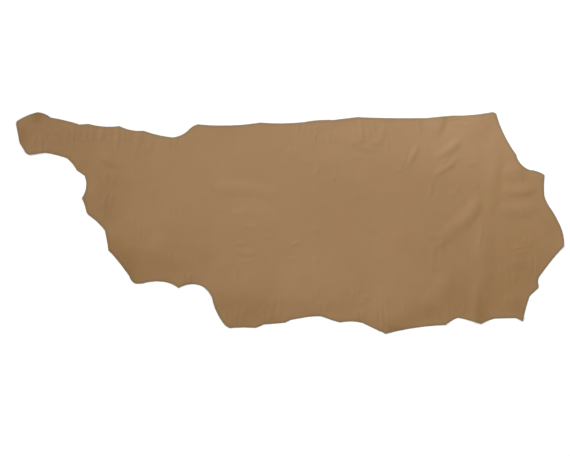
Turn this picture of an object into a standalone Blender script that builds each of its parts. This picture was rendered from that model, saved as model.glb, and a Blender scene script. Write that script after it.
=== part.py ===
"""Leather side: half of a tanned cattle hide, one cut sheet lying flat with its grain side up.

Metres, +Z up. The back cut runs along X, the neck end at -X and the rump at +X. +Y is the back
cut, -Y the belly. The flesh side rests on Z = 0, and folds, swells and curled points rise off it.
"""

import math
from collections import namedtuple

import bpy
import numpy as np
from mathutils import Vector
from mathutils.geometry import delaunay_2d_cdt

# Driving dimensions
HIDE_LENGTH = 2.500
HIDE_WIDTH = 1.011
THICKNESS = 0.0016

# Spacing of the sheet's points: along its cut edge, over its flat parts and along its folds
EDGE_STEP = 0.021
SHEET_PITCH = 0.046
FOLD_STEP = 0.034
FOLD_ROWS = (-0.94, -0.6, -0.28, 0.0, 0.28, 0.6, 0.94)
CLOSEST_TO_EDGE = 0.0095
CLOSEST_IN_FOLD = 0.0085
CLOSEST_ON_SHEET = 0.024

# How the sheet's points are joined into triangles: none outside the cut edge, and points closer
# together than this are one
INSIDE_ONLY = 1
SAME_POINT = 1e-6

# Leather's finish, from the dyed grain side
GRAIN_COLOUR = (0.337, 0.205, 0.102, 1.0)
GRAIN_ROUGHNESS = 0.62

# The cutting pattern is drawn in millimetres: along from the neck end, across down from the
# highest point of the back cut. PATTERN_LENGTH and PATTERN_WIDTH are its overall size.
PATTERN_LENGTH = 2500.0
PATTERN_WIDTH = 1012.0
MM = 0.001

# One row for each mark of the edge, clockwise from the neck tip. The edge runs to the next mark in
# an arc, and bow is how far the arc's middle stands out of its chord (negative: hollow).
Mark = namedtuple("Mark", "along across bow")
EDGE = {
    "neck": (
        Mark(3, 41, 4.6),
        Mark(97, 0, 5.5),
        Mark(157, 24, 2.7),
        Mark(289, 56, 0),
        Mark(330, 53, -7.3),
        Mark(472, 63, -8.2),
        Mark(581, 84, -4.1),
        Mark(714, 115, -7.3),
        Mark(789, 79, 3.2),
    ),
    "back": (
        Mark(828, 55, -9.1),
        Mark(1115, 47, -4.6),
        Mark(1312, 45, 3.7),
        Mark(1448, 35, 0),
        Mark(1558, 22, -2.7),
        Mark(1882, 26, 0),
        Mark(1992, 15, -5.0),
        Mark(2170, 0, 2.3),
    ),
    "rump": (
        Mark(2191, 7, -9.1),
        Mark(2283, 194, -13.7),
        Mark(2348, 264, 4.6),
        Mark(2411, 287, -1.8),
        Mark(2411, 381, -3.2),
        Mark(2440, 440, 1.4),
        Mark(2478, 507, 6.4),
        Mark(2500, 602, 3.2),
    ),
    "hind shank": (
        Mark(2491, 621, -1.8),
        Mark(2388, 751, -3.7),
        Mark(2384, 787, 1.4),
        Mark(2382, 803, 0.5),
        Mark(2345, 839, -1.8),
        Mark(2317, 931, 0),
        Mark(2316, 945, 0),
    ),
    "flank": (
        Mark(2311, 956, -0.9),
        Mark(2279, 940, 0),
        Mark(2183, 943, -1.8),
        Mark(2120, 967, -2.3),
        Mark(2015, 939, -2.3),
        Mark(1960, 971, -6.4),
    ),
    "belly": (
        Mark(1684, 1012, 0),
        Mark(1672, 1004, 0),
        Mark(1654, 998, 0),
        Mark(1581, 963, -5.9),
        Mark(1480, 961, 1.4),
        Mark(1394, 933, -3.2),
        Mark(1298, 941, 0),
        Mark(1252, 949, 0.9),
        Mark(1225, 962, 0),
        Mark(1129, 970, 0.9),
        Mark(1092, 985, -1.8),
    ),
    "fore shank": (
        Mark(974, 986, 2.3),
        Mark(946, 965, 5.0),
        Mark(899, 869, -11.4),
        Mark(845, 793, -11.9),
        Mark(741, 803, -5.0),
        Mark(668, 774, -4.6),
        Mark(577, 782, 1.4),
        Mark(542, 782, 4.1),
        Mark(517, 750, -1.8),
    ),
    "shoulder": (
        Mark(438, 648, 0),
        Mark(421, 632, -1.4),
        Mark(405, 541, -4.1),
        Mark(333, 472, 1.4),
        Mark(320, 454, -2.3),
        Mark(300, 392, -13.2),
        Mark(312, 290, 0),
        Mark(277, 266, -3.7),
        Mark(231, 210, -2.7),
    ),
    "cheek": (
        Mark(129, 185, 0),
        Mark(70, 194, 6.8),
        Mark(38, 176, 0),
        Mark(16, 141, 0),
        Mark(4, 76, 0),
        Mark(0, 54, 0),
    ),
}

# One row for each soft fold, all in the pattern's millimetres: the ends of its crest, how far the
# crest bows to its left, its height, how wide its flanks are left and right of the crest, and how
# long each end takes to run out. A flank narrows towards an end that runs out, down to this share
# of its width, and the crest sways from side to side. Where folds meet, a higher BLEND gives a
# sharper join.
Fold = namedtuple(
    "Fold", "name along across to_along to_across bow height left right start_fade end_fade"
)
NARROWEST_FLANK = 0.55
SWAY = 0.0035
SWAY_RUN = 0.19
BLEND = 4
FOLDS = (
    Fold("flank ridge", 1866, 646, 2134, 384, -14, 6.8, 50, 50, 200, 70),
    Fold("hind leg ridge", 2124, 430, 2094, 966, 22, 4.6, 70, 64, 170, 0),
    Fold("lower leg ridge", 2108, 740, 2094, 966, 4, 7.6, 42, 44, 120, 0),
    Fold("hind leg rise", 2184, 90, 2146, 540, 14, 2.8, 46, 60, 140, 160),
    Fold("belly ridge", 1808, 908, 1996, 718, -36, 4.6, 74, 66, 120, 110),
    Fold("croup swell", 1952, 98, 2178, 36, 6, 4.4, 64, 100, 110, 60),
    Fold("loin rise", 1940, 8, 1920, 132, 0, 7.0, 32, 80, 0, 70),
    Fold("upper loin crease", 1895, 230, 2053, 110, 3, 4.8, 34, 34, 80, 70),
    Fold("lower loin crease", 1893, 310, 2036, 198, 3, 3.6, 28, 23, 70, 70),
    Fold("loin tuck", 1788, 262, 1834, 134, -2, 3.2, 22, 19, 50, 50),
    Fold("rump swell", 2206, 290, 2332, 256, 3, 5.6, 54, 84, 60, 40),
    Fold("upper thurl fold", 2206, 370, 2392, 354, 3, 5.0, 60, 33, 50, 60),
    Fold("lower thurl fold", 2176, 450, 2404, 441, 4, 4.5, 42, 56, 80, 70),
    Fold("upper shank fold", 2214, 700, 2356, 682, 5, 3.6, 42, 56, 80, 80),
    Fold("lower shank fold", 2200, 888, 2316, 872, 4, 3.0, 38, 50, 70, 60),
    Fold("shoulder ridge", 868, 336, 1206, 356, 2, 4.1, 42, 66, 90, 150),
    Fold("rib ripple", 950, 458, 1166, 464, 4, 2.2, 32, 40, 90, 110),
    Fold("lower rib ripple", 952, 644, 1136, 650, 4, 2.4, 30, 28, 80, 80),
    Fold("saddle swell", 1416, 112, 1752, 118, 6, 4.4, 84, 70, 150, 150),
    Fold("saddle crease", 1500, 148, 1694, 176, 3, 3.0, 34, 26, 80, 90),
    Fold("belly swell", 1090, 856, 1640, 848, 10, 5.2, 230, 82, 220, 220),
    Fold("belly point swell", 1560, 926, 1900, 918, -9, 5.6, 170, 62, 150, 150),
    Fold("brisket swell", 800, 806, 1260, 872, 12, 6.0, 230, 100, 150, 200),
    Fold("arm swell", 380, 564, 830, 712, 14, 6.0, 230, 92, 160, 200),
    Fold("neck fold", 346, 190, 510, 266, 5, 4.0, 32, 28, 70, 100),
    Fold("shoulder swell", 362, 272, 414, 514, -8, 3.8, 50, 54, 90, 100),
    Fold("first neck wrinkle", 393, 64, 372, 168, 2, 3.4, 22, 17, 15, 70),
    Fold("second neck wrinkle", 461, 66, 467, 194, -2, 2.8, 18, 18, 15, 70),
    Fold("third neck wrinkle", 556, 86, 550, 206, 2, 3.6, 28, 28, 15, 70),
)

# One row for each point of the edge that curls up: its place, how high it stands and how far in
# from it the curl begins.
Curl = namedtuple("Curl", "name along across height reach")
CURLS = (
    Curl("neck tip", 0, 50, 4.5, 100),
    Curl("cheek", 60, 196, 3.5, 90),
    Curl("shoulder point", 300, 392, 3.0, 80),
    Curl("fore shank", 524, 776, 3.0, 80),
    Curl("elbow", 741, 803, 2.5, 70),
    Curl("brisket point", 958, 984, 2.5, 80),
    Curl("belly point", 1684, 1012, 3.0, 80),
    Curl("flank point", 1960, 971, 3.0, 80),
    Curl("hind shank", 2312, 954, 4.0, 90),
    Curl("hock", 2384, 800, 2.5, 60),
    Curl("thigh point", 2498, 612, 4.0, 100),
    Curl("rump point", 2411, 287, 4.5, 80),
    Curl("tail root", 2186, 2, 3.0, 80),
)


def frame_point(along, across):
    """A place of the pattern, in millimetres, as a point of the sheet, in metres."""
    x = (along / PATTERN_LENGTH - 0.5) * HIDE_LENGTH
    y = (0.5 - across / PATTERN_WIDTH) * HIDE_WIDTH
    return Vector((x, y))


def left_of(direction):
    """The direction a quarter turn to the left of this one."""
    return Vector((-direction.y, direction.x))


def arc_point(start, end, bow, share):
    """The point at this share of an arc that stands out by bow to the left of its chord."""
    chord = end - start
    length = chord.length
    along = chord / length
    if not bow:
        return start + chord * share
    radius = (length * length / 4 + bow * bow) / (2 * bow)
    half_angle = math.asin(length / 2 / radius)
    angle = (2 * share - 1) * half_angle
    run = length / 2 + radius * math.sin(angle)
    rise = radius * math.cos(angle) - (radius - bow)
    return start + along * run + left_of(along) * rise


def edge_points():
    """The cut edge as one loop, clockwise from the neck tip."""
    marks = [mark for stretch in EDGE.values() for mark in stretch]
    points = []
    for mark, following in zip(marks, marks[1:] + marks[:1]):
        start = frame_point(mark.along, mark.across)
        end = frame_point(following.along, following.across)
        steps = math.ceil((end - start).length / EDGE_STEP)
        points += [arc_point(start, end, mark.bow * MM, step / steps) for step in range(steps)]
    return points


def smooth(share):
    """0 up to 0 and 1 from 1 on, with a smooth rise between."""
    share = np.clip(share, 0.0, 1.0)
    return share * share * (3 - 2 * share)


def crest_aside(fold, share, length):
    """How far to the left of its chord a fold's crest lies, at this share of its length."""
    bowed = 4 * fold.bow * MM * share * (1 - share)
    return bowed + SWAY * np.sin(2 * math.pi * (share * length / SWAY_RUN + length))


def fold_height(fold, xy):
    """The height that one fold gives each point of the sheet."""
    start = frame_point(fold.along, fold.across)
    end = frame_point(fold.to_along, fold.to_across)
    length = (end - start).length
    direction = (end - start) / length
    offset = xy - np.array(start)
    run = offset @ np.array(direction)
    share = np.clip(run / length, 0.0, 1.0)
    aside = offset @ np.array(left_of(direction)) - crest_aside(fold, share, length)
    fade = np.ones(len(xy))
    if fold.start_fade:
        fade *= smooth(run / (fold.start_fade * MM))
    if fold.end_fade:
        fade *= smooth((length - run) / (fold.end_fade * MM))
    flank = np.where(aside > 0, fold.left, fold.right) * MM
    flank *= NARROWEST_FLANK + (1 - NARROWEST_FLANK) * fade
    across = np.clip(np.abs(aside) / flank, 0.0, 1.0)
    return fold.height * MM * fade * (0.5 + 0.5 * np.cos(math.pi * across))


def curl_height(curl, xy):
    """The height that one curled point gives each point of the sheet."""
    away = np.linalg.norm(xy - np.array(frame_point(curl.along, curl.across)), axis=1)
    return curl.height * MM * np.clip(1 - away / (curl.reach * MM), 0.0, 1.0) ** 2


def flesh_height(xy):
    """How high the flesh side stands off the surface that the hide lies on.

    Folds that meet run into each other, so the higher one counts there, softly.
    """
    folds = sum(fold_height(fold, xy) ** BLEND for fold in FOLDS) ** (1 / BLEND)
    return folds + sum(curl_height(curl, xy) for curl in CURLS)


def inside(edge, xy):
    """Which points lie inside the cut edge."""
    found = np.zeros(len(xy), bool)
    for (ax, ay), (bx, by) in zip(edge, np.roll(edge, -1, axis=0)):
        crosses = (xy[:, 1] < ay) != (xy[:, 1] < by)
        if ay != by:
            at_x = ax + (xy[:, 1] - ay) / (by - ay) * (bx - ax)
            found ^= crosses & (xy[:, 0] < at_x)
    return found


def clear_of(placed, xy, distance):
    """The points that lie at least this far from those placed and from each other."""
    kept = np.array(placed)
    for point in xy:
        if np.hypot(*(kept - point).T).min() >= distance:
            kept = np.vstack([kept, point])
    return kept[len(placed):]


def fold_points(fold):
    """Rows of points along a fold, closer together across it than along it."""
    start = frame_point(fold.along, fold.across)
    end = frame_point(fold.to_along, fold.to_across)
    length = (end - start).length
    side = left_of((end - start) / length)
    steps = math.ceil(length / FOLD_STEP)
    points = []
    for row in FOLD_ROWS:
        flank = (fold.left if row > 0 else fold.right) * MM
        for step in range(steps + 1):
            share = step / steps
            aside = crest_aside(fold, share, length) + row * flank
            points.append(start.lerp(end, share) + side * aside)
    return np.array(points)


def lattice_points():
    """An even triangular lattice over the hide's whole box."""
    row_gap = SHEET_PITCH * math.sqrt(3) / 2
    rows = math.ceil(HIDE_WIDTH / row_gap)
    columns = math.ceil(HIDE_LENGTH / SHEET_PITCH)
    points = []
    for row in range(rows + 1):
        y = row * row_gap - HIDE_WIDTH / 2
        shift = SHEET_PITCH / 2 * (row % 2)
        points += [(column * SHEET_PITCH + shift - HIDE_LENGTH / 2, y) for column in range(columns)]
    return np.array(points)


def sheet_points(edge):
    """The points inside the cut edge: rows along the folds first, then the lattice between them."""
    placed = np.array(edge)
    crests = np.concatenate([fold_points(fold) for fold in FOLDS])
    crests = crests[inside(edge, crests)]
    away = np.array([np.hypot(*(placed - point).T).min() for point in crests])
    crests = clear_of(crests[:1], crests[1:][away[1:] >= CLOSEST_TO_EDGE], CLOSEST_IN_FOLD)
    placed = np.vstack([placed, crests])
    lattice = lattice_points()
    lattice = clear_of(placed, lattice[inside(edge, lattice)], CLOSEST_ON_SHEET)
    return np.vstack([crests, lattice])


def hide_mesh():
    """The flesh side as an open sheet of triangles, lifted into its folds and curls."""
    edge = np.array(edge_points())
    points = np.vstack([edge, sheet_points(edge)])
    loop = list(range(len(edge)))
    places = [Vector(point) for point in points]
    flat, _, faces, *_ = delaunay_2d_cdt(places, [], [loop], INSIDE_ONLY, SAME_POINT)
    flat = np.array(flat)
    heights = flesh_height(flat)
    mesh = bpy.data.meshes.new("hide")
    mesh.from_pydata([(x, y, z) for (x, y), z in zip(flat, heights)], [], faces)
    return mesh


def face_up(mesh):
    """Turns the sheet over if its faces look down."""
    if sum(face.normal.z for face in mesh.polygons) < 0:
        mesh.flip_normals()


def leather_material():
    """Plain brown dyed leather."""
    material = bpy.data.materials.new("leather")
    material.use_nodes = True
    shader = material.node_tree.nodes["Principled BSDF"]
    shader.inputs["Base Color"].default_value = GRAIN_COLOUR
    shader.inputs["Roughness"].default_value = GRAIN_ROUGHNESS
    shader.inputs["Metallic"].default_value = 0.0
    return material


def build_hide(collection):
    """The hide: its flesh side given the leather's thickness upwards."""
    mesh = hide_mesh()
    face_up(mesh)
    mesh.materials.append(leather_material())
    hide = bpy.data.objects.new("hide", mesh)
    collection.objects.link(hide)
    wall = hide.modifiers.new("thickness", "SOLIDIFY")
    wall.thickness = THICKNESS
    wall.offset = 1.0
    return hide


def main():
    """Clears the scene and builds the hide in its own collection."""
    for obj in list(bpy.data.objects):
        bpy.data.objects.remove(obj, do_unlink=True)
    collection = bpy.data.collections.new("leather hide")
    bpy.context.scene.collection.children.link(collection)
    build_hide(collection)


main()
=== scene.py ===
"""Leather side: its looks. A hide lying flat with its fine folds, grain, cut edge and suede back.

Metres, +Z up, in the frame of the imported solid. The back cut runs along X, the neck end at -X.
"""

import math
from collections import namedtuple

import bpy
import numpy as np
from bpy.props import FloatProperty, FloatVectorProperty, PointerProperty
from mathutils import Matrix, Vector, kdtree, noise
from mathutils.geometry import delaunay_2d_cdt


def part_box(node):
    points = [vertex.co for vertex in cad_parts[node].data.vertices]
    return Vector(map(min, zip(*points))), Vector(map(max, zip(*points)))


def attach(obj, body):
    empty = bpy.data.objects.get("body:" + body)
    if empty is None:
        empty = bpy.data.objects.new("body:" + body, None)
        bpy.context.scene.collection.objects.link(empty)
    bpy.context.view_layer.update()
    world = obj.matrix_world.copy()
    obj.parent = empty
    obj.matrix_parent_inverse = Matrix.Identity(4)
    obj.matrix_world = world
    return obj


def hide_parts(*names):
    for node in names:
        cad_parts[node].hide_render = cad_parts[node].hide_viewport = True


bl_info = {
    "name": "Leather Hide",
    "version": (1, 0, 0),
    "blender": (4, 5, 0),
    "location": "3D View > Sidebar > Leather Hide",
    "description": "Builds a side of leather with its folds, grain and cut edge, and a studio for it",
    "category": "Object",
}

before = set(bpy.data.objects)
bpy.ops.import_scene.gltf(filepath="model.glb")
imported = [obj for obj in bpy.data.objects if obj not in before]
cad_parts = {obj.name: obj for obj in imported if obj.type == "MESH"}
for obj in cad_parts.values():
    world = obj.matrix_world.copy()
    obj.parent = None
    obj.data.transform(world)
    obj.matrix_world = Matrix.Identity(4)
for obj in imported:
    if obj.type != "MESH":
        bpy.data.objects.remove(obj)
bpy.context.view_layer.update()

NODE = "hide"
LOW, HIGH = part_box(NODE)
HIDE_LENGTH = HIGH.x - LOW.x
HIDE_WIDTH = HIGH.y - LOW.y
MM = 0.001

# The cutting pattern is drawn in millimetres: along from the neck end, across down from the
# highest point of the back cut. PATTERN_LENGTH and PATTERN_WIDTH are its overall size.
PATTERN_LENGTH = 2500.0
PATTERN_WIDTH = 1012.0

# One row for each mark of the edge, clockwise from the neck tip. The edge runs to the next mark in
# an arc, and bow is how far the arc's middle stands out of its chord (negative: hollow).
Mark = namedtuple("Mark", "along across bow")
EDGE = {
    "neck": (
        Mark(3, 41, 4.6),
        Mark(97, 0, 5.5),
        Mark(157, 24, 2.7),
        Mark(289, 56, 0),
        Mark(330, 53, -7.3),
        Mark(472, 63, -8.2),
        Mark(581, 84, -4.1),
        Mark(714, 115, -7.3),
        Mark(789, 79, 3.2),
    ),
    "back": (
        Mark(828, 55, -9.1),
        Mark(1115, 47, -4.6),
        Mark(1312, 45, 3.7),
        Mark(1448, 35, 0),
        Mark(1558, 22, -2.7),
        Mark(1882, 26, 0),
        Mark(1992, 15, -5.0),
        Mark(2170, 0, 2.3),
    ),
    "rump": (
        Mark(2191, 7, -9.1),
        Mark(2283, 194, -13.7),
        Mark(2348, 264, 4.6),
        Mark(2411, 287, -1.8),
        Mark(2411, 381, -3.2),
        Mark(2440, 440, 1.4),
        Mark(2478, 507, 6.4),
        Mark(2500, 602, 3.2),
    ),
    "hind shank": (
        Mark(2491, 621, -1.8),
        Mark(2388, 751, -3.7),
        Mark(2384, 787, 1.4),
        Mark(2382, 803, 0.5),
        Mark(2345, 839, -1.8),
        Mark(2317, 931, 0),
        Mark(2316, 945, 0),
    ),
    "flank": (
        Mark(2311, 956, -0.9),
        Mark(2279, 940, 0),
        Mark(2183, 943, -1.8),
        Mark(2120, 967, -2.3),
        Mark(2015, 939, -2.3),
        Mark(1960, 971, -6.4),
    ),
    "belly": (
        Mark(1684, 1012, 0),
        Mark(1672, 1004, 0),
        Mark(1654, 998, 0),
        Mark(1581, 963, -5.9),
        Mark(1480, 961, 1.4),
        Mark(1394, 933, -3.2),
        Mark(1298, 941, 0),
        Mark(1252, 949, 0.9),
        Mark(1225, 962, 0),
        Mark(1129, 970, 0.9),
        Mark(1092, 985, -1.8),
    ),
    "fore shank": (
        Mark(974, 986, 2.3),
        Mark(946, 965, 5.0),
        Mark(899, 869, -11.4),
        Mark(845, 793, -11.9),
        Mark(741, 803, -5.0),
        Mark(668, 774, -4.6),
        Mark(577, 782, 1.4),
        Mark(542, 782, 4.1),
        Mark(517, 750, -1.8),
    ),
    "shoulder": (
        Mark(438, 648, 0),
        Mark(421, 632, -1.4),
        Mark(405, 541, -4.1),
        Mark(333, 472, 1.4),
        Mark(320, 454, -2.3),
        Mark(300, 392, -13.2),
        Mark(312, 290, 0),
        Mark(277, 266, -3.7),
        Mark(231, 210, -2.7),
    ),
    "cheek": (
        Mark(129, 185, 0),
        Mark(70, 194, 6.8),
        Mark(38, 176, 0),
        Mark(16, 141, 0),
        Mark(4, 76, 0),
        Mark(0, 54, 0),
    ),
}

# One row for each soft fold, all in the pattern's millimetres: the ends of its crest, how far the
# crest bows to its left, its height, how wide its flanks are left and right of the crest, and how
# long each end takes to run out. A flank narrows towards an end that runs out, down to this share
# of its width, and the crest sways from side to side. Where folds meet, a higher BLEND gives a
# sharper join.
Fold = namedtuple(
    "Fold", "name along across to_along to_across bow height left right start_fade end_fade"
)
NARROWEST_FLANK = 0.55
SWAY = 0.0035
SWAY_RUN = 0.19
BLEND = 4
FOLDS = (
    Fold("flank ridge", 1866, 646, 2134, 384, -14, 6.8, 50, 50, 200, 70),
    Fold("hind leg ridge", 2124, 430, 2094, 966, 22, 4.6, 70, 64, 170, 0),
    Fold("lower leg ridge", 2108, 740, 2094, 966, 4, 7.6, 42, 44, 120, 0),
    Fold("hind leg rise", 2184, 90, 2146, 540, 14, 2.8, 46, 60, 140, 160),
    Fold("belly ridge", 1808, 908, 1996, 718, -36, 4.6, 74, 66, 120, 110),
    Fold("croup swell", 1952, 98, 2178, 36, 6, 4.4, 64, 100, 110, 60),
    Fold("loin rise", 1940, 8, 1920, 132, 0, 7.0, 32, 80, 0, 70),
    Fold("upper loin crease", 1895, 230, 2053, 110, 3, 4.8, 34, 34, 80, 70),
    Fold("lower loin crease", 1893, 310, 2036, 198, 3, 3.6, 28, 23, 70, 70),
    Fold("loin tuck", 1788, 262, 1834, 134, -2, 3.2, 22, 19, 50, 50),
    Fold("rump swell", 2206, 290, 2332, 256, 3, 5.6, 54, 84, 60, 40),
    Fold("upper thurl fold", 2206, 370, 2392, 354, 3, 5.0, 60, 33, 50, 60),
    Fold("lower thurl fold", 2176, 450, 2404, 441, 4, 4.5, 42, 56, 80, 70),
    Fold("upper shank fold", 2214, 700, 2356, 682, 5, 3.6, 42, 56, 80, 80),
    Fold("lower shank fold", 2200, 888, 2316, 872, 4, 3.0, 38, 50, 70, 60),
    Fold("shoulder ridge", 868, 336, 1206, 356, 2, 4.1, 42, 66, 90, 150),
    Fold("rib ripple", 950, 458, 1166, 464, 4, 2.2, 32, 40, 90, 110),
    Fold("lower rib ripple", 952, 644, 1136, 650, 4, 2.4, 30, 28, 80, 80),
    Fold("saddle swell", 1416, 112, 1752, 118, 6, 4.4, 84, 70, 150, 150),
    Fold("saddle crease", 1500, 148, 1694, 176, 3, 3.0, 34, 26, 80, 90),
    Fold("belly swell", 1090, 856, 1640, 848, 10, 5.2, 230, 82, 220, 220),
    Fold("belly point swell", 1560, 926, 1900, 918, -9, 5.6, 170, 62, 150, 150),
    Fold("brisket swell", 800, 806, 1260, 872, 12, 6.0, 230, 100, 150, 200),
    Fold("arm swell", 380, 564, 830, 712, 14, 6.0, 230, 92, 160, 200),
    Fold("neck fold", 346, 190, 510, 266, 5, 4.0, 32, 28, 70, 100),
    Fold("shoulder swell", 362, 272, 414, 514, -8, 3.8, 50, 54, 90, 100),
    Fold("first neck wrinkle", 393, 64, 372, 168, 2, 3.4, 22, 17, 15, 70),
    Fold("second neck wrinkle", 461, 66, 467, 194, -2, 2.8, 18, 18, 15, 70),
    Fold("third neck wrinkle", 556, 86, 550, 206, 2, 3.6, 28, 28, 15, 70),
)

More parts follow.
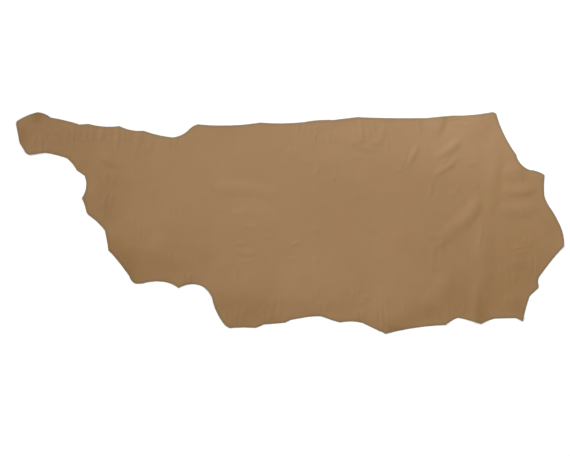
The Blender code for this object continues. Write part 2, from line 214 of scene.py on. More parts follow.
# One row for each small ridge (height over 0) or trough (height under 0) between the folds. Its
# columns are a fold's.
CREASES = (
    Fold("neck tip line", 74, 4, 82, 58, 0, 2.6, 26, 40, 0, 30),
    Fold("neck tip line", 96, 96, 90, 160, 2, -3.0, 11, 11, 30, 20),
    Fold("neck tip line", 124, 128, 122, 184, 0, -3.6, 13, 9, 30, 10),
    Fold("neck tip line", 168, 138, 173, 186, 2, -1.6, 10, 10, 25, 10),
    Fold("neck line", 240, 46, 246, 148, 3, -2.6, 13, 13, 15, 50),
    Fold("neck line", 276, 52, 271, 156, -3, -1.3, 10, 11, 15, 60),
    Fold("neck line", 294, 58, 299, 176, 3, -1.6, 11, 11, 15, 60),
    Fold("neck line", 334, 58, 328, 152, -2, -2.2, 12, 10, 15, 50),
    Fold("neck line", 428, 66, 420, 132, 2, 1.5, 14, 18, 12, 40),
    Fold("neck line", 502, 74, 495, 156, 3, -2.2, 11, 11, 12, 60),
    Fold("neck line", 588, 136, 587, 196, 0, -2.2, 9, 9, 25, 20),
    Fold("neck line", 614, 102, 609, 198, 2, 1.7, 16, 28, 12, 60),
    Fold("withers line", 702, 120, 708, 190, 2, -2.4, 11, 10, 12, 50),
    Fold("withers line", 744, 110, 739, 172, -2, -1.9, 10, 10, 12, 40),
    Fold("withers line", 778, 94, 784, 182, 2, -1.9, 11, 10, 12, 60),
    Fold("shoulder line", 418, 262, 426, 340, 2, -3.0, 13, 12, 25, 25),
    Fold("shoulder line", 430, 352, 412, 446, -3, -2.6, 12, 11, 35, 40),
    Fold("shoulder line", 404, 446, 412, 510, 2, -1.4, 12, 11, 30, 30),
    Fold("shoulder line", 516, 474, 522, 518, 0, -1.3, 10, 10, 20, 20),
    Fold("arm line", 576, 516, 571, 588, 2, -2.4, 10, 11, 30, 30),
    Fold("arm line", 628, 336, 637, 376, 0, -1.3, 10, 10, 18, 18),
    Fold("arm line", 566, 356, 562, 404, 0, -1.3, 10, 10, 22, 22),
    Fold("arm line", 702, 404, 708, 474, 2, -1.9, 10, 10, 30, 30),
    Fold("arm line", 720, 616, 715, 684, -2, -1.9, 11, 11, 30, 30),
    Fold("elbow line", 766, 724, 776, 790, 2, -2.7, 10, 11, 30, 10),
    Fold("elbow line", 800, 726, 804, 770, 0, -1.6, 10, 10, 20, 15),
    Fold("rib line", 838, 392, 884, 388, 2, 0.9, 11, 10, 20, 20),
    Fold("rib line", 842, 652, 872, 698, 3, 2.0, 12, 12, 20, 25),
    Fold("rib line", 908, 452, 954, 450, 1, 1.2, 10, 10, 20, 20),
    Fold("rib line", 878, 298, 896, 362, -2, 1.4, 11, 11, 25, 30),
    Fold("rib line", 1080, 374, 1212, 386, 0, 1.8, 60, 28, 45, 45),
    Fold("rib line", 1010, 524, 1132, 530, 3, 1.7, 12, 11, 50, 50),
    Fold("rib line", 988, 608, 1064, 600, 2, 1.4, 11, 10, 30, 30),
    Fold("rib line", 1012, 688, 1084, 680, -2, 1.6, 10, 10, 30, 30),
    Fold("rib line", 1118, 574, 1182, 578, 1, 1.2, 10, 10, 25, 25),
    Fold("rib line", 990, 696, 1006, 786, 4, 1.8, 11, 12, 35, 35),
    Fold("rib line", 1052, 734, 1066, 806, -2, 1.3, 11, 11, 30, 30),
    Fold("rib line", 1244, 622, 1306, 590, 3, 1.3, 12, 12, 25, 25),
    Fold("rib line", 1246, 676, 1290, 672, 0, 1.2, 10, 10, 20, 20),
    Fold("flank dimple", 1352, 268, 1390, 274, 0, 1.5, 26, 24, 18, 18),
    Fold("flank dimple", 1432, 308, 1474, 300, 0, 1.5, 26, 24, 20, 20),
    Fold("flank dimple", 1532, 388, 1568, 380, 0, 1.5, 26, 24, 18, 18),
    Fold("flank dimple", 1368, 516, 1374, 560, 0, 1.5, 26, 24, 20, 20),
    Fold("flank dimple", 1362, 656, 1368, 702, 0, 1.5, 26, 24, 20, 20),
    Fold("saddle line", 1212, 222, 1218, 268, 0, -1.3, 11, 10, 20, 20),
    Fold("saddle line", 1256, 142, 1263, 222, 2, -1.9, 11, 11, 30, 30),
    Fold("saddle line", 1303, 44, 1288, 116, 2, -2.7, 12, 11, 12, 35),
    Fold("saddle line", 1330, 192, 1336, 256, -2, -1.8, 11, 10, 25, 25),
    Fold("saddle line", 1346, 54, 1353, 134, 3, -2.2, 11, 10, 15, 40),
    Fold("saddle line", 1376, 86, 1370, 156, -2, -2.2, 10, 10, 25, 35),
    Fold("saddle line", 1406, 96, 1411, 156, 2, -2.2, 10, 10, 25, 30),
    Fold("saddle line", 1442, 74, 1436, 146, 2, -1.9, 11, 10, 20, 40),
    Fold("saddle pucker", 1560, 34, 1582, 146, 3, 2.6, 18, 13, 15, 35),
    Fold("saddle pucker", 1598, 60, 1608, 150, 3, 1.5, 12, 12, 25, 30),
    Fold("saddle pucker", 1628, 30, 1636, 100, -3, 2.2, 11, 11, 15, 35),
    Fold("saddle pucker", 1676, 46, 1662, 152, 4, 2.8, 13, 24, 20, 40),
    Fold("saddle pucker", 1518, 148, 1588, 140, 2, 2.4, 26, 20, 25, 25),
    Fold("saddle pucker", 1600, 152, 1672, 140, 2, 2.4, 24, 22, 25, 25),
    Fold("saddle pucker", 1516, 200, 1608, 214, 3, 2.0, 13, 24, 35, 35),
    Fold("saddle pucker", 1690, 124, 1698, 186, -2, 1.6, 11, 10, 25, 30),
    Fold("loin line", 1778, 176, 1752, 262, 3, 1.6, 12, 14, 35, 35),
    Fold("loin line", 1728, 280, 1772, 262, 2, 1.4, 14, 13, 20, 20),
    Fold("loin line", 1826, 30, 1842, 118, 4, 1.9, 12, 12, 15, 45),
    Fold("loin line", 1990, 210, 1940, 254, 2, -1.9, 9, 9, 25, 25),
    Fold("loin line", 1936, 240, 1984, 206, 2, 2.1, 9, 9, 20, 20),
    Fold("loin line", 1902, 392, 1938, 384, 0, 1.6, 15, 15, 20, 20),
    Fold("loin line", 1970, 388, 2018, 374, 2, 1.8, 20, 18, 20, 20),
    Fold("loin line", 2012, 372, 2028, 328, 0, 1.5, 16, 16, 18, 18),
    Fold("loin line", 1896, 398, 1900, 312, 2, 1.8, 16, 14, 25, 25),
    Fold("croup line", 1976, 46, 2092, 42, 2, -2.4, 11, 11, 30, 40),
    Fold("croup line", 2046, 254, 2124, 226, 3, 1.7, 18, 16, 35, 35),
    Fold("croup line", 2088, 352, 2124, 320, 2, 1.3, 12, 12, 20, 20),
    Fold("thurl line", 2306, 306, 2300, 340, 0, 1.2, 9, 9, 12, 15),
    Fold("thigh line", 2330, 556, 2337, 616, 2, -2.2, 12, 11, 30, 30),
    Fold("thigh line", 2262, 636, 2336, 626, -2, -2.4, 11, 11, 30, 30),
    Fold("thigh line", 2356, 636, 2362, 744, 3, -2.4, 11, 11, 40, 40),
    Fold("shank line", 2212, 690, 2224, 768, 3, -2.6, 11, 11, 30, 35),
    Fold("shank line", 2252, 724, 2264, 790, -2, -1.9, 10, 10, 25, 25),
    Fold("shank line", 2244, 828, 2252, 884, 2, -2.6, 12, 11, 25, 25),
    Fold("hind leg line", 2122, 512, 2116, 640, -2, 1.9, 9, 10, 50, 50),
    Fold("flank line", 1878, 576, 1962, 560, 3, 2.0, 22, 24, 30, 30),
    Fold("flank line", 1936, 566, 1942, 700, 3, 1.4, 12, 14, 50, 50),
    Fold("flank line", 1906, 742, 1902, 604, 2, 2.0, 22, 16, 40, 40),
    Fold("flank line", 1846, 902, 1884, 944, 3, 2.1, 12, 12, 20, 15),
    Fold("flank line", 1908, 896, 1934, 946, 2, 2.0, 11, 11, 20, 15),
    Fold("flank line", 1962, 872, 1980, 936, -3, 1.7, 12, 11, 25, 20),
    Fold("flank line", 2042, 866, 2032, 926, 2, 1.7, 12, 11, 25, 15),
    Fold("flank line", 1758, 846, 1770, 926, 3, 1.6, 12, 11, 35, 35),
    Fold("belly line", 1654, 772, 1655, 988, 0, -2.6, 9, 9, 190, 10),
    Fold("belly line", 1677, 772, 1680, 1004, 0, -2.8, 9, 9, 190, 8),
    Fold("belly line", 1572, 846, 1604, 880, 2, -2.2, 15, 14, 18, 18),
    Fold("belly line", 1540, 804, 1556, 838, 0, -1.7, 12, 12, 15, 15),
    Fold("belly line", 1558, 896, 1570, 950, 2, -2.4, 11, 11, 25, 15),
    Fold("belly line", 1356, 796, 1362, 850, 0, -1.9, 11, 11, 25, 25),
    Fold("belly line", 1398, 846, 1390, 922, 3, -2.4, 12, 12, 30, 25),
    Fold("brisket line", 1188, 820, 1182, 950, 4, -2.7, 11, 15, 45, 15),
    Fold("brisket line", 1130, 878, 1141, 964, 3, -2.2, 11, 11, 35, 20),
    Fold("brisket line", 1022, 884, 1015, 972, -3, -2.2, 11, 11, 35, 20),
    Fold("brisket line", 1050, 866, 1057, 932, 2, -1.9, 10, 10, 30, 30),
    Fold("brisket line", 968, 896, 962, 968, 2, -2.2, 10, 10, 30, 15),
)

# One row for each point of the edge that curls up: its place, how high it stands and how far in
# from it the curl begins.
Curl = namedtuple("Curl", "name along across height reach")
CURLS = (
    Curl("neck tip", 0, 50, 4.5, 100),
    Curl("cheek", 60, 196, 3.5, 90),
    Curl("shoulder point", 300, 392, 3.0, 80),
    Curl("fore shank", 524, 776, 3.0, 80),
    Curl("elbow", 741, 803, 2.5, 70),
    Curl("brisket point", 958, 984, 2.5, 80),
    Curl("belly point", 1684, 1012, 3.0, 80),
    Curl("flank point", 1960, 971, 3.0, 80),
    Curl("hind shank", 2312, 954, 4.0, 90),
    Curl("hock", 2384, 800, 2.5, 60),
    Curl("thigh point", 2498, 612, 4.0, 100),
    Curl("rump point", 2411, 287, 4.5, 80),
    Curl("tail root", 2186, 2, 3.0, 80),
)

# One row for each patch of the dyed grain side that is lighter or darker than the rest, with its
# place, its reach along and across, and its share of lightness in one of three steps, under 0
# where it is darker. The patches are partly the dye's own colour, as the firm back takes less
# colour than the loose neck and belly, and partly painted light and shade: a painted pool of light
# and sheen over the back and croup, and painted shade towards the edges of the neck, legs and
# belly and in the hollows.
SLIGHT = 0.04
CLEAR = 0.08
STRONG = 0.14
Patch = namedtuple("Patch", "name along across reach_along reach_across amount")
TONES_AND_PAINTED_LIGHT = (
    Patch("croup", 2080, 90, 420, 230, STRONG),
    Patch("saddle", 1560, 110, 420, 200, CLEAR),
    Patch("withers", 1000, 160, 420, 220, SLIGHT),
    Patch("ribs", 1140, 410, 260, 170, SLIGHT),
    Patch("fore flank", 1930, 610, 220, 130, -SLIGHT),
    Patch("neck", 150, 110, 330, 160, -CLEAR),
    Patch("neck tip", 96, 16, 48, 44, -STRONG),
    Patch("cheek", 28, 110, 46, 80, -CLEAR),
    Patch("throat", 298, 240, 44, 44, -SLIGHT),
    Patch("crest of the neck", 440, 160, 160, 120, SLIGHT),
    Patch("shoulder", 380, 460, 260, 260, -CLEAR),
    Patch("arm", 620, 760, 330, 190, -CLEAR),
    Patch("point of the arm", 450, 680, 160, 140, -STRONG),
    Patch("fore shank", 520, 742, 90, 70, -SLIGHT),
    Patch("elbow", 856, 664, 36, 36, -SLIGHT),
    Patch("brisket", 1000, 930, 280, 170, -CLEAR),
    Patch("belly", 1380, 960, 460, 130, -SLIGHT),
    Patch("belly point", 1690, 992, 70, 50, -SLIGHT),
    Patch("behind the belly point", 1746, 988, 80, 24, -STRONG),
    Patch("flank", 1900, 930, 300, 180, -SLIGHT),
    Patch("flank hollow", 1880, 920, 110, 60, -SLIGHT),
    Patch("stifle", 2060, 830, 200, 200, -CLEAR),
    Patch("leg point", 2120, 940, 46, 70, -CLEAR),
    Patch("shank", 2296, 910, 50, 60, -CLEAR),
    Patch("thigh", 2290, 700, 280, 330, -CLEAR),
    Patch("thigh point", 2450, 530, 70, 130, -SLIGHT),
)

# One row for each patch where the grain is loose, so that it draws into coarser wrinkles.
LOOSE = (
    Patch("neck", 250, 120, 520, 220, 1.0),
    Patch("shoulder", 380, 400, 220, 280, 0.7),
    Patch("arm", 600, 740, 300, 160, 0.7),
    Patch("brisket", 1000, 940, 300, 130, 0.8),
    Patch("belly", 1500, 990, 600, 100, 0.7),
    Patch("flank", 2000, 900, 300, 160, 0.8),
    Patch("thigh", 2330, 800, 220, 240, 0.7),
)

# How many times wider a trough's swell is than the trough
SWELL_SPREAD = 3.2

# How much a fold's height varies along it, over what run
UNEVENNESS = 0.5
UNEVEN_RUN = 0.09

# Levels at which the noise is read for the unevenness, the ripples and the edge's frill
UNEVEN_LEVEL = 11.0
RIPPLE_LEVEL = 3.0
FRILL_LEVEL = 7.0

# Low ripples of the flat parts and along the edge, in metres
RIPPLE_HEIGHT = 0.0016
RIPPLE_RUN = 0.21
RIPPLE_START = 0.08
FRILL_HEIGHT = 0.0026
FRILL_RUN = 0.085
FRILL_REACH = 0.05
KNIFE_WOBBLE = 0.0005
KNIFE_RUN = 0.013
EDGE_REACH = 0.06

# How far a trough is pressed into the grain side at most
DEEPEST_PRESS = 0.0005

# Rows of points across a crease in shares of its flank, their spacing along it, and how close
# points may come to the edge and to each other, in shares of the sheet's pitch
CREASE_ROWS = (-1.0, -0.5, 0.0, 0.5, 1.0)
CREASE_STEP = 0.007
CLOSEST_TO_EDGE = 0.55
CLOSEST_IN_CREASE = 0.45
CLOSEST_ON_SHEET = 0.6


class HideSizes(bpy.types.PropertyGroup):
    """Sizes of the hide's sheet."""

    thickness: FloatProperty(
        name="Thickness", description="Thickness of the leather", default=0.0016, unit="LENGTH"
    )
    pitch: FloatProperty(
        name="Sheet pitch",
        description="Spacing of the sheet's points over its flat parts",
        default=0.0078,
        unit="LENGTH",
    )
    edge_step: FloatProperty(
        name="Edge step",
        description="Spacing of the points along the cut edge",
        default=0.0045,
        unit="LENGTH",
    )
    edge_round: FloatProperty(
        name="Edge rounding",
        description="How far the cut edge's corners are rubbed round",
        default=0.00032,
        unit="LENGTH",
    )


class HideColours(bpy.types.PropertyGroup):
    """Colours of the hide's three finishes."""

    grain: FloatVectorProperty(
        name="Grain side",
        description="Dyed grain side",
        subtype="COLOR",
        default=(0.283, 0.162, 0.0685),
    )
    flesh: FloatVectorProperty(
        name="Flesh side",
        description="Suede flesh side",
        subtype="COLOR",
        default=(0.33, 0.215, 0.125),
    )
    cut: FloatVectorProperty(
        name="Cut edge",
        description="Raw cut edge",
        subtype="COLOR",
        default=(0.19, 0.116, 0.062),
    )


class StudioLook(bpy.types.PropertyGroup):
    """The floor, the light and the camera."""

    floor: FloatVectorProperty(
        name="Floor", description="Colour of the floor", subtype="COLOR", default=(0.93, 0.93, 0.93)
    )
    sky: FloatProperty(
        name="Fill", description="Strength of the light from all round", default=0.62
    )
    key: FloatProperty(name="Key", description="Strength of the soft key light", default=1.87)
    key_tilt: FloatProperty(
        name="Key tilt",
        description="Angle of the key light away from overhead",
        default=math.radians(45),
        subtype="ANGLE",
    )
    key_turn: FloatProperty(
        name="Key turn",
        description="Direction of the key light, from the back cut towards the neck",
        default=math.radians(50),
        subtype="ANGLE",
    )
    key_spread: FloatProperty(
        name="Key spread",
        description="How wide the key light looks, so how soft it is",
        default=math.radians(40),
        subtype="ANGLE",
    )
    lamp: FloatProperty(
        name="Lamp", description="Power of the broad lamp overhead", default=20.0, unit="POWER"
    )
    lamp_place: FloatVectorProperty(
        name="Lamp place",
        description="Where the broad lamp hangs",
        subtype="TRANSLATION",
        default=(0.9, 1.5, 2.6),
    )
    lamp_size: FloatProperty(
        name="Lamp size", description="Side of the square lamp", default=1.5, unit="LENGTH"
    )
    lens: FloatProperty(
        name="Lens", description="Focal length of the camera", default=85.0, unit="CAMERA"
    )


def frame_point(along, across):
    """A place of the pattern, in millimetres, as a point of the sheet, in metres."""
    x = (along / PATTERN_LENGTH - 0.5) * HIDE_LENGTH
    y = (0.5 - across / PATTERN_WIDTH) * HIDE_WIDTH
    return Vector((x, y))


def left_of(direction):
    """The direction a quarter turn to the left of this one."""
    return Vector((-direction.y, direction.x))


def arc_point(start, end, bow, share):
    """The point at this share of an arc that stands out by bow to the left of its chord."""
    chord = end - start
    length = chord.length
    along = chord / length
    if not bow:
        return start + chord * share
    radius = (length * length / 4 + bow * bow) / (2 * bow)
    half_angle = math.asin(length / 2 / radius)
    angle = (2 * share - 1) * half_angle
    run = length / 2 + radius * math.sin(angle)
    rise = radius * math.cos(angle) - (radius - bow)
    return start + along * run + left_of(along) * rise


def wobble(point):
    """How far the knife strayed from the pattern at this point of the edge."""
    return KNIFE_WOBBLE * noise.noise(Vector((point.x, point.y, 0)) / KNIFE_RUN)


def edge_points(step):
    """The cut edge as one loop, clockwise from the neck tip."""
    marks = [mark for stretch in EDGE.values() for mark in stretch]
    points = []
    for mark, following in zip(marks, marks[1:] + marks[:1]):
        start = frame_point(mark.along, mark.across)
        end = frame_point(following.along, following.across)
        outward = left_of((end - start).normalized())
        steps = math.ceil((end - start).length / step)
        for number in range(steps):
            point = arc_point(start, end, mark.bow * MM, number / steps)
            points.append(point + outward * wobble(point))
    return points


def smooth(share):
    """0 up to 0 and 1 from 1 on, with a smooth rise between."""
    share = np.clip(share, 0.0, 1.0)
    return share * share * (3 - 2 * share)


def crest_aside(fold, share, length):
    """How far to the left of its chord a fold's crest lies, at this share of its length."""
    bowed = 4 * fold.bow * MM * share * (1 - share)
    return bowed + SWAY * np.sin(2 * math.pi * (share * length / SWAY_RUN + length))


def fold_height(fold, xy):
    """The height that one fold gives each point of the sheet."""
    start = frame_point(fold.along, fold.across)
    end = frame_point(fold.to_along, fold.to_across)
    length = (end - start).length
    direction = (end - start) / length
    offset = xy - np.array(start)
    run = offset @ np.array(direction)
    share = np.clip(run / length, 0.0, 1.0)
    aside = offset @ np.array(left_of(direction)) - crest_aside(fold, share, length)
    fade = np.ones(len(xy))
    if fold.start_fade:
        fade *= smooth(run / (fold.start_fade * MM))
    if fold.end_fade:
        fade *= smooth((length - run) / (fold.end_fade * MM))
    flank = np.where(aside > 0, fold.left, fold.right) * MM
    flank *= NARROWEST_FLANK + (1 - NARROWEST_FLANK) * fade
    across = np.clip(np.abs(aside) / flank, 0.0, 1.0)
    return fold.height * MM * fade * (0.5 + 0.5 * np.cos(math.pi * across))


def crease_height(crease, xy):
    """The height that a crease gives: a trough lies in a low swell, whose top it cuts into."""
    if crease.height > 0:
        return fold_height(crease, xy)
    swell = crease._replace(
        height=-crease.height, left=crease.left * SWELL_SPREAD, right=crease.right * SWELL_SPREAD
    )
    return fold_height(crease, xy) + fold_height(swell, xy)


def curl_height(curl, xy):
    """The height that one curled point gives each point of the sheet."""
    away = np.linalg.norm(xy - np.array(frame_point(curl.along, curl.across)), axis=1)
    return curl.height * MM * np.clip(1 - away / (curl.reach * MM), 0.0, 1.0) ** 2


def patch_sum(patches, xy):
    """The patches' amounts at each point, each fading out softly from its middle."""
    total = np.zeros(len(xy))
    for patch in patches:
        reach = np.array((patch.reach_along, patch.reach_across)) * MM
        away = (xy - np.array(frame_point(patch.along, patch.across))) / reach
        total += patch.amount * np.exp(-2 * (away**2).sum(axis=1))
    return total


def noise_at(xy, run, level):
    """Smooth noise over the sheet whose waves are about this long, on its own level."""
    return np.array([noise.noise(Vector((x / run, y / run, level))) for x, y in xy])


def sheet_height(xy, edge_away):
    """How high the sheet would stand if nothing lay under it."""
    folds = sum(fold_height(fold, xy) ** BLEND for fold in FOLDS) ** (1 / BLEND)
    curls = sum(curl_height(curl, xy) for curl in CURLS)
    ripple = np.clip(noise_at(xy, RIPPLE_RUN, RIPPLE_LEVEL) - RIPPLE_START, 0.0, 1.0)
    frill = np.clip(noise_at(xy, FRILL_RUN, FRILL_LEVEL), 0.0, 1.0)
    frill *= np.clip(1 - edge_away / FRILL_REACH, 0.0, 1.0) ** 2
    creases = sum(crease_height(crease, xy) for crease in CREASES)
    uneven = 1 + UNEVENNESS * noise_at(xy, UNEVEN_RUN, UNEVEN_LEVEL)
    return uneven * (folds + creases) + curls + RIPPLE_HEIGHT * ripple + FRILL_HEIGHT * frill


def inside(edge, xy):
    """Which points lie inside the cut edge."""
    found = np.zeros(len(xy), bool)
    for (ax, ay), (bx, by) in zip(edge, np.roll(edge, -1, axis=0)):
        crosses = (xy[:, 1] < ay) != (xy[:, 1] < by)
        if ay != by:
            at_x = ax + (xy[:, 1] - ay) / (by - ay) * (bx - ax)
            found ^= crosses & (xy[:, 0] < at_x)
    return found


def tree_of(points):
    """A search tree over points of the sheet."""
    tree = kdtree.KDTree(len(points))
    for number, (x, y) in enumerate(points):
        tree.insert((x, y, 0), number)
    tree.balance()
    return tree


def away_from(tree, xy):
    """How far each point lies from the nearest one in the tree."""
    return np.array([tree.find((x, y, 0))[2] for x, y in xy])


def crease_points(crease):
    """Rows of points along a small crease, close enough together to hold its shape."""
    start = frame_point(crease.along, crease.across)
    end = frame_point(crease.to_along, crease.to_across)
    length = (end - start).length
    side = left_of((end - start) / length)
    steps = math.ceil(length / CREASE_STEP)
    points = []
    for row in CREASE_ROWS:
        flank = (crease.left if row > 0 else crease.right) * MM
        for step in range(steps + 1):
            share = step / steps
            aside = crest_aside(crease, share, length) + row * flank
            points.append(start.lerp(end, share) + side * aside)
    return np.array(points)


def lattice_points(pitch):
    """An even triangular lattice over the hide's whole box."""
    row_gap = pitch * math.sqrt(3) / 2
    rows = math.ceil(HIDE_WIDTH / row_gap)
    columns = math.ceil(HIDE_LENGTH / pitch)
    points = []
    for row in range(rows + 1):
        y = row * row_gap - HIDE_WIDTH / 2
        shift = pitch / 2 * (row % 2)
        points += [(column * pitch + shift - HIDE_LENGTH / 2, y) for column in range(columns)]
    return np.array(points)


def thinned(points, distance):
    """The points in order, leaving out any that lies too near one already kept."""
    kept = []
    taken = {}
    for x, y in points:
        cell = (math.floor(x / distance), math.floor(y / distance))
        near = [
            other
            for i in (-1, 0, 1)
            for j in (-1, 0, 1)
            for other in taken.get((cell[0] + i, cell[1] + j), ())
        ]
        if all(math.hypot(x - ox, y - oy) >= distance for ox, oy in near):
            kept.append((x, y))
            taken.setdefault(cell, []).append((x, y))
    return np.array(kept)


def sheet_points(edge, pitch):
    """The points inside the cut edge: rows along the creases, then the lattice between them."""
    edge_tree = tree_of(edge)
    creases = np.concatenate([crease_points(crease) for crease in CREASES])
    creases = creases[inside(edge, creases)]
    creases = creases[away_from(edge_tree, creases) >= CLOSEST_TO_EDGE * pitch]
    creases = thinned(creases, CLOSEST_IN_CREASE * pitch)
    placed = tree_of(np.vstack([edge, creases]))
    lattice = lattice_points(pitch)
    lattice = lattice[inside(edge, lattice)]
    lattice = lattice[away_from(placed, lattice) >= CLOSEST_ON_SHEET * pitch]
    return np.vstack([creases, lattice])


def select_only(obj):
    """Makes this the one selected and active object."""
    bpy.ops.object.select_all(action="DESELECT")
    obj.select_set(True)
    bpy.context.view_layer.objects.active = obj


def add_attribute(mesh, name, values):
    """Stores a number for each point of the mesh, for the materials to read."""
    attribute = mesh.attributes.new(name, "FLOAT", "POINT")
    attribute.data.foreach_set("value", np.asarray(values, np.float32))


def apply_modifier(obj, kind, **settings):
    """Adds a modifier with these settings and applies it."""
    modifier = obj.modifiers.new(kind.lower(), kind)
    for name, value in settings.items():
        setattr(modifier, name, value)
    select_only(obj)
    bpy.ops.object.modifier_apply(modifier=modifier.name)


class Shade:
    """A socket of a material's nodes. Arithmetic on it adds Math nodes to the same material."""

    def __init__(self, tree, socket=None):
        self.tree = tree
        self.socket = socket

    def node(self, kind, settings=None, sockets=None, out=0):
        """A new node: its settings first, then the values or links of its sockets."""
        made = self.tree.nodes.new(kind)
        for name, value in (settings or {}).items():
            setattr(made, name, value)
        for name, value in (sockets or {}).items():
            if isinstance(value, Shade):
                self.tree.links.new(value.socket, made.inputs[name])
            else:
                made.inputs[name].default_value = value
        return Shade(self.tree, made.outputs[out])

    def math(self, operation, *values):
        """A Math node on these values."""
        sockets = dict(enumerate(values))
        return self.node("ShaderNodeMath", {"operation": operation}, sockets)

    def __add__(self, other):
        return self.math("ADD", self, other)

    def __radd__(self, other):
        return self.math("ADD", other, self)

    def __sub__(self, other):
        return self.math("SUBTRACT", self, other)

    def __rsub__(self, other):
        return self.math("SUBTRACT", other, self)

    def __mul__(self, other):
        return self.math("MULTIPLY", self, other)

    def __rmul__(self, other):
        return self.math("MULTIPLY", other, self)

    def __abs__(self):
        return self.math("ABSOLUTE", self)


def new_material(name):
    """A material with its Principled shader, and a start for its expressions."""
    material = bpy.data.materials.new(name)
    material.use_nodes = True
    tree = material.node_tree
    return material, tree.nodes["Principled BSDF"], Shade(tree)


def place_of(start):
    """The point of the surface, in metres."""
    return start.node("ShaderNodeTexCoord", out="Object")


def stretched(place, along, across, turn=0.0):
    """The place with its axes scaled, so that a pattern read there is drawn out or turned."""
    return place.node(
        "ShaderNodeMapping",
        {"vector_type": "TEXTURE"},
        {"Vector": place, "Scale": (along, across, 1.0), "Rotation": (0, 0, turn)},
    )


def noise_of(place, size, detail=2.0, rough=0.5, warp=0.0):
    """Soft noise whose lumps are about this size, from 0 to 1."""
    return place.node(
        "ShaderNodeTexNoise",
        {},
        {
            "Vector": place,
            "Scale": 1 / size,
            "Detail": detail,
            "Roughness": rough,
            "Distortion": warp,
        },
    )


def cells_of(place, size, feature):
    """Distances in a pattern of cells of about this size."""
    return place.node(
        "ShaderNodeTexVoronoi",
        {"feature": feature},
        {"Vector": place, "Scale": 1 / size},
        out="Distance",
    )


def rise(value, low, high):
    """0 at low and 1 at high, with a smooth rise between."""
    return value.node(
        "ShaderNodeMapRange",
        {"interpolation_type": "SMOOTHSTEP"},
        {"Value": value, "From Min": low, "From Max": high},
    )


def rise_linear(value, low, high):
    """0 at low and 1 at high, straight between."""
    return value.node("ShaderNodeMapRange", {}, {"Value": value, "From Min": low, "From Max": high})


def mix_colour(factor, first, second, blend="MIX"):
    """The two colours mixed by a factor."""
    return factor.node(
        "ShaderNodeMix",
        {"data_type": "RGBA", "blend_type": blend},
        {0: factor, 6: first, 7: second},
        out=2,
    )


def scaled(colour, share):
    """A colour with each part multiplied."""
    return tuple(part * share for part in colour[:3]) + (1.0,)


# How strongly red, green and blue follow the lightness: paler when lighter, as painted sheen
TONE_AND_SHEEN_SHARES = (1.0, 1.27, 2.1)


def toned_with_sheen(colour, amount):
    """The dyed colour this much lighter and paler, with painted sheen, or darker and stronger."""
    return tuple(
        part * (1 + amount * share) for part, share in zip(colour, TONE_AND_SHEEN_SHARES)
    ) + (1.0,)


def warped(place, size, amount):
    """The place pushed about by noise, so that a pattern read there loses its straight lines."""
    push = place.node("ShaderNodeTexNoise", {}, {"Vector": place, "Scale": 1 / size}, out="Color")
    centred = place.node(
        "ShaderNodeVectorMath", {"operation": "SUBTRACT"}, {0: push, 1: (0.5, 0.5, 0.5)}
    )
    return place.node(
        "ShaderNodeVectorMath",
        {"operation": "MULTIPLY_ADD"},
        {0: centred, 1: (amount, amount, amount), 2: place},
    )


def attribute_of(start, name):
    """A number stored at the mesh's points."""
    return start.node("ShaderNodeAttribute", {"attribute_name": name}, out="Fac")


def bump_of(start, height):
    """A surface normal raised by a height in metres."""
    return start.node("ShaderNodeBump", {}, {"Strength": 1.0, "Distance": 1.0, "Height": height})


def set_shader(shader, start, **inputs):
    """Sets or links the Principled shader's sockets, named with _ for a space."""
    for name, value in inputs.items():
        socket = shader.inputs[name.replace("_", " ")]
        if isinstance(value, Shade):
            start.tree.links.new(value.socket, socket)
        else:
            socket.default_value = value


# Sizes of the grain's pebbles, loose wrinkles and pores, in metres
PEBBLE = 0.0017
COARSE_PEBBLE = 0.0046
WRINKLE = 0.009
PORE = 0.0011

# The tint of painted shade along the cut edge, and how far in from the edge it begins and ends to
# fade, in metres
RIM_SHADE_TINT = (0.88, 0.98, 1.14, 1.0)
RIM_FADE = (0.006, 0.016)


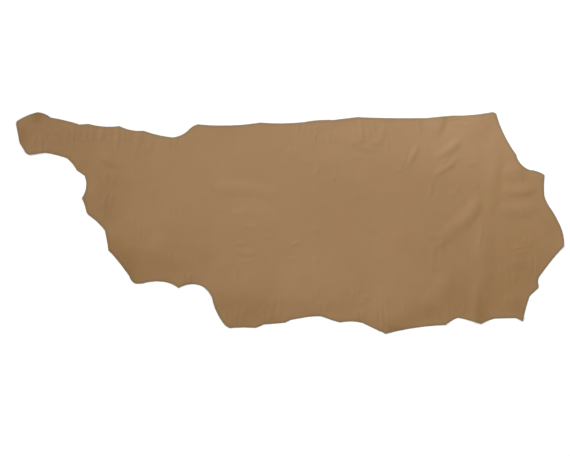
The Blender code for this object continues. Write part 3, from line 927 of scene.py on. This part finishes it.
def grain_material(colours):
    """Dyed full grain: pebbles with fine furrows, pores, wrinkles in the loose parts, mottling,
    with painted shade in the furrows and along the cut edge and patches of painted light and shade.
    """
    material, shader, start = new_material("grain side")
    place = place_of(start)
    # Each point's lightness from the patches: partly the dye's own colour, partly painted light and
    # shade
    tone_and_painted_light = attribute_of(start, "tone_and_painted_light")
    loose = attribute_of(start, "loose")
    edge = attribute_of(start, "edge_distance")

    crooked = warped(place, 0.006, 0.0016)
    pebbles = rise(cells_of(crooked, PEBBLE, "DISTANCE_TO_EDGE"), 0.0, 0.28)
    uneven = warped(place, 0.02, 0.005)
    coarse = rise(cells_of(uneven, COARSE_PEBBLE, "DISTANCE_TO_EDGE"), 0.0, 0.22)
    pores = 1 - rise(cells_of(place, PORE, "F1"), 0.05, 0.2)
    drawn = stretched(warped(place, 0.05, 0.02), 1.0, 3.2)
    wrinkles = rise(abs(noise_of(drawn, WRINKLE, 3.0, 0.55) - 0.5), 0.0, 0.07)
    undulation = noise_of(place, 0.035, 2.0)

    height = (
        pebbles * 0.00007
        + coarse * (0.00004 + 0.00010 * loose)
        - pores * 0.00005
        + wrinkles * (0.00003 + 0.00022 * loose)
        + undulation * 0.0006
    )

    cloud = noise_of(place, 0.30, 3.0, 0.5, 0.4)
    blotch = noise_of(place, 0.07, 4.0, 0.6, 0.3)
    fleck = noise_of(place, 0.009, 3.0, 0.6)
    # How deep each point lies in the furrows between pebbles and in the loose wrinkles; it darkens
    # the lightness there as painted shade, and makes the surface rougher
    furrow = (1 - pebbles) * 0.55 + (1 - coarse) * 0.25 * loose + (1 - wrinkles) * 0.35 * loose
    # Painted shade along the cut edge: a dark line at the very edge and a darker band a few
    # millimetres inside it, both painted shade, and a grey-blue tint of painted shade fading out from
    # 6 to 16 mm in
    rim_shade = 1 - rise(edge, *RIM_FADE)
    rubbed = rise(edge, 0.0005, 0.0035) * rim_shade
    edge_shade = (1 - rise(edge, 0.0, 0.004)) + rubbed
    # Lightness: patches partly of dye and partly of painted light and shade, random mottling, and
    # painted shade in the furrows and along the cut edge
    light = (
        1.0
        + tone_and_painted_light
        + (cloud - 0.5) * 0.10
        + (blotch - 0.5) * 0.09
        + (fleck - 0.5) * 0.07
        - furrow * 0.10
        - edge_shade * 0.05
    )
    colour = mix_colour(
        rise_linear(light, 0.5, 1.5), toned_with_sheen(colours.grain, -0.5), toned_with_sheen(colours.grain, 0.5)
    )
    redden = rise(noise_of(place, 0.16, 2.0, 0.5, 0.5), 0.5, 0.75) * 0.06
    colour = mix_colour(redden, colour, (1.12, 0.96, 0.82, 1.0), "MULTIPLY")
    # The grey-blue tint of painted shade along the cut edge
    colour = mix_colour(rim_shade, colour, RIM_SHADE_TINT, "MULTIPLY")
    roughness = 0.56 + (blotch - 0.5) * 0.12 + furrow * 0.16 + (fleck - 0.5) * 0.06
    set_shader(
        shader,
        start,
        Base_Color=colour,
        Roughness=roughness,
        Specular_IOR_Level=0.35,
        Normal=bump_of(start, height),
    )
    return material


def flesh_material(colours):
    """Suede back: short matted fibres, knife marks and darker veins."""
    material, shader, start = new_material("flesh side")
    place = place_of(start)
    nap = noise_of(stretched(warped(place, 0.01, 0.004), 1.0, 2.0), 0.0011, 4.0, 0.7)
    tufts = noise_of(place, 0.006, 4.0, 0.65, 0.6)
    cloud = noise_of(place, 0.09, 3.0, 0.55, 0.5)
    veins = 1 - rise(abs(noise_of(warped(place, 0.12, 0.05), 0.16, 2.0, 0.5) - 0.5), 0.0, 0.03)
    marks = rise(noise_of(stretched(place, 9.0, 1.0, turn=0.5), 0.012, 2.0, 0.5), 0.62, 0.72)
    light = 1.0 + (nap - 0.5) * 0.34 + (tufts - 0.5) * 0.3 + (cloud - 0.5) * 0.26 - veins * 0.1
    light = light + marks * 0.06
    colour = mix_colour(
        rise_linear(light, 0.5, 1.5), scaled(colours.flesh, 0.5), scaled(colours.flesh, 1.5)
    )
    height = nap * 0.00035 + tufts * 0.0003 + marks * 0.0001 - veins * 0.00015
    set_shader(
        shader,
        start,
        Base_Color=colour,
        Roughness=0.9 + (tufts - 0.5) * 0.1,
        Specular_IOR_Level=0.2,
        Sheen_Weight=0.25,
        Sheen_Roughness=0.6,
        Normal=bump_of(start, height),
    )
    return material


def cut_material(colours):
    """Raw cut: packed fibres in layers along the edge."""
    material, shader, start = new_material("cut edge")
    place = place_of(start)
    fibres = noise_of(stretched(place, 6.0, 6.0), 0.0005, 4.0, 0.7)
    lumps = noise_of(place, 0.0016, 3.0, 0.6)
    light = 1.0 + (fibres - 0.5) * 0.7 + (lumps - 0.5) * 0.5
    colour = mix_colour(
        rise_linear(light, 0.4, 1.6), scaled(colours.cut, 0.5), scaled(colours.cut, 1.6)
    )
    height = fibres * 0.00022 + lumps * 0.00025
    set_shader(
        shader,
        start,
        Base_Color=colour,
        Roughness=0.84 + (lumps - 0.5) * 0.2,
        Specular_IOR_Level=0.25,
        Normal=bump_of(start, height),
    )
    return material


# The finishes in the order of the mesh's materials. A face whose normal rises less than UPRIGHT
# is part of the cut.
GRAIN, FLESH, CUT = range(3)
UPRIGHT = 0.6

# The cut edge's corners are rubbed round where they turn by more than this, in this many steps
CORNER = math.radians(50)
CORNER_STEPS = 2
SMOOTH_UP_TO = math.radians(48)

# The triangles kept are those inside the edge, and points closer than SAME_POINT are one
INSIDE_ONLY = 1
SAME_POINT = 1e-7


def open_sheet(sizes):
    """The flesh side as an open sheet of triangles with its numbers for the materials."""
    edge = np.array(edge_points(sizes.edge_step))
    points = np.vstack([edge, sheet_points(edge, sizes.pitch)])
    loop = list(range(len(edge)))
    places = [Vector(point) for point in points]
    flat, _, faces, *_ = delaunay_2d_cdt(places, [], [loop], INSIDE_ONLY, SAME_POINT)
    flat = np.array(flat)
    edge_away = np.minimum(away_from(tree_of(edge), flat), EDGE_REACH)
    heights = sheet_height(flat, edge_away)
    mesh = bpy.data.meshes.new(NODE + "_leather")
    lifted = np.maximum(heights, 0.0)
    mesh.from_pydata([(x, y, z) for (x, y), z in zip(flat, lifted)], [], faces)
    if sum(face.normal.z for face in mesh.polygons) < 0:
        mesh.flip_normals()
    # The patches' lightness at each point, partly dye and partly painted light and shade
    add_attribute(mesh, "tone_and_painted_light", patch_sum(TONES_AND_PAINTED_LIGHT, flat))
    add_attribute(mesh, "loose", np.clip(patch_sum(LOOSE, flat), 0.0, 1.0))
    add_attribute(mesh, "edge_distance", edge_away)
    add_attribute(mesh, "pressed", np.maximum(heights - lifted, -DEEPEST_PRESS))
    return mesh


def name_sides(mesh):
    """Gives each face the finish of its side: grain above, flesh below, cut between."""
    for face in mesh.polygons:
        if abs(face.normal.z) < UPRIGHT:
            face.material_index = CUT
        else:
            face.material_index = GRAIN if face.normal.z > 0 else FLESH


def press_troughs(mesh):
    """Sinks a trough into the grain side where the sheet itself can't go lower."""
    depth = np.empty(len(mesh.vertices), np.float32)
    mesh.attributes["pressed"].data.foreach_get("value", depth)
    above = {v for face in mesh.polygons if face.material_index == GRAIN for v in face.vertices}
    for number in above:
        mesh.vertices[number].co.z += float(depth[number])
    mesh.attributes.remove(mesh.attributes["pressed"])


class HIDE_OT_leather(bpy.types.Operator):
    """Cut the side of leather, lay it in its folds and give it its three finishes"""

    bl_idname = "hide_looks.leather"
    bl_label = "Lay the Leather"

    def execute(self, context):
        sizes = context.scene.hide_sizes
        colours = context.scene.hide_colours
        mesh = open_sheet(sizes)
        hide = bpy.data.objects.new("side_of_leather", mesh)
        context.scene.collection.objects.link(hide)
        for make in (grain_material, flesh_material, cut_material):
            mesh.materials.append(make(colours))
        apply_modifier(hide, "SOLIDIFY", thickness=sizes.thickness, offset=1.0)
        name_sides(hide.data)
        press_troughs(hide.data)
        apply_modifier(
            hide,
            "BEVEL",
            width=sizes.edge_round,
            segments=CORNER_STEPS,
            limit_method="ANGLE",
            angle_limit=CORNER,
            material=CUT,
        )
        select_only(hide)
        bpy.ops.object.shade_smooth_by_angle(angle=SMOOTH_UP_TO)
        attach(hide, "root")
        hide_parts(NODE)
        return {"FINISHED"}


# The photograph's frame, in pixels: its size, and the middle of the hide's box in it
FRAME_WIDE = 570
FRAME_HIGH = 456
HIDE_MIDDLE = (290.0, 223.0)
HIDE_WIDE = 547.6
FLOOR_SIZE = 60.0
FLOOR_GAP = 0.0002


def place_camera(look):
    """A camera straight above the hide, as far off as the photograph's frame asks."""
    data = bpy.data.cameras.new("camera")
    data.lens = look.lens
    pixel = HIDE_LENGTH / HIDE_WIDE
    frame_width = FRAME_WIDE * pixel
    height = frame_width * data.lens / data.sensor_width
    aside = (FRAME_WIDE / 2 - HIDE_MIDDLE[0]) * pixel
    down = (FRAME_HIGH / 2 - HIDE_MIDDLE[1]) * pixel
    camera = bpy.data.objects.new("camera", data)
    camera.location = (aside, -down, height)
    bpy.context.scene.collection.objects.link(camera)
    bpy.context.scene.camera = camera


def add_light(name, kind, strength):
    """A light of this kind in the scene."""
    data = bpy.data.lights.new(name, kind)
    data.energy = strength
    light = bpy.data.objects.new(name, data)
    bpy.context.scene.collection.objects.link(light)
    return light


def light_studio(look):
    """A soft key light from the back cut's side, a lamp over the croup and even fill."""
    key = add_light("key", "SUN", look.key)
    key.data.angle = look.key_spread
    key.rotation_euler = (-look.key_tilt, 0.0, look.key_turn)
    lamp = add_light("lamp", "AREA", look.lamp)
    lamp.data.size = look.lamp_size
    lamp.location = look.lamp_place
    world = bpy.data.worlds.new("fill")
    world.use_nodes = True
    world.node_tree.nodes["Background"].inputs["Strength"].default_value = look.sky
    world.node_tree.nodes["Background"].inputs["Color"].default_value = (1.0, 1.0, 1.0, 1.0)
    bpy.context.scene.world = world


def floor_material(look):
    """Plain pale paper, with the faintest unevenness."""
    material, shader, start = new_material("floor")
    patchy = noise_of(place_of(start), 0.8, 2.0) * 0.04
    colour = mix_colour(patchy, tuple(look.floor) + (1.0,), (0.8, 0.8, 0.8, 1.0))
    set_shader(shader, start, Base_Color=colour, Roughness=0.9, Specular_IOR_Level=0.1)
    return material


class HIDE_OT_studio(bpy.types.Operator):
    """Lay the pale floor, light it softly and set the camera straight above the hide"""

    bl_idname = "hide_looks.studio"
    bl_label = "Set the Studio"

    def execute(self, context):
        look = context.scene.studio_look
        bpy.ops.object.select_all(action="DESELECT")
        bpy.ops.mesh.primitive_plane_add(size=FLOOR_SIZE, location=(0, 0, -FLOOR_GAP))
        floor = context.active_object
        floor.name = "floor"
        floor.data.materials.append(floor_material(look))
        place_camera(look)
        light_studio(look)
        context.scene.view_settings.view_transform = "Standard"
        return {"FINISHED"}


class HIDE_PT_looks(bpy.types.Panel):
    """The hide's builders and their settings"""

    bl_idname = "HIDE_PT_looks"
    bl_label = "Leather Hide"
    bl_space_type = "VIEW_3D"
    bl_region_type = "UI"
    bl_category = "Leather Hide"

    def draw(self, context):
        for group in (
            context.scene.hide_sizes,
            context.scene.hide_colours,
            context.scene.studio_look,
        ):
            box = self.layout.box()
            for name in group.__annotations__:
                box.prop(group, name)
        self.layout.operator(HIDE_OT_leather.bl_idname)
        self.layout.operator(HIDE_OT_studio.bl_idname)


CLASSES = (
    HideSizes,
    HideColours,
    StudioLook,
    HIDE_OT_leather,
    HIDE_OT_studio,
    HIDE_PT_looks,
)


def register():
    """Registers the classes and gives the scene their settings."""
    for cls in CLASSES:
        bpy.utils.register_class(cls)
    bpy.types.Scene.hide_sizes = PointerProperty(type=HideSizes)
    bpy.types.Scene.hide_colours = PointerProperty(type=HideColours)
    bpy.types.Scene.studio_look = PointerProperty(type=StudioLook)


def unregister():
    """Takes the settings and the classes away again."""
    del bpy.types.Scene.studio_look
    del bpy.types.Scene.hide_colours
    del bpy.types.Scene.hide_sizes
    for cls in reversed(CLASSES):
        bpy.utils.unregister_class(cls)


def main():
    """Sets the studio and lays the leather."""
    register()
    bpy.ops.hide_looks.studio()
    bpy.ops.hide_looks.leather()


if __name__ == "__main__":
    main()
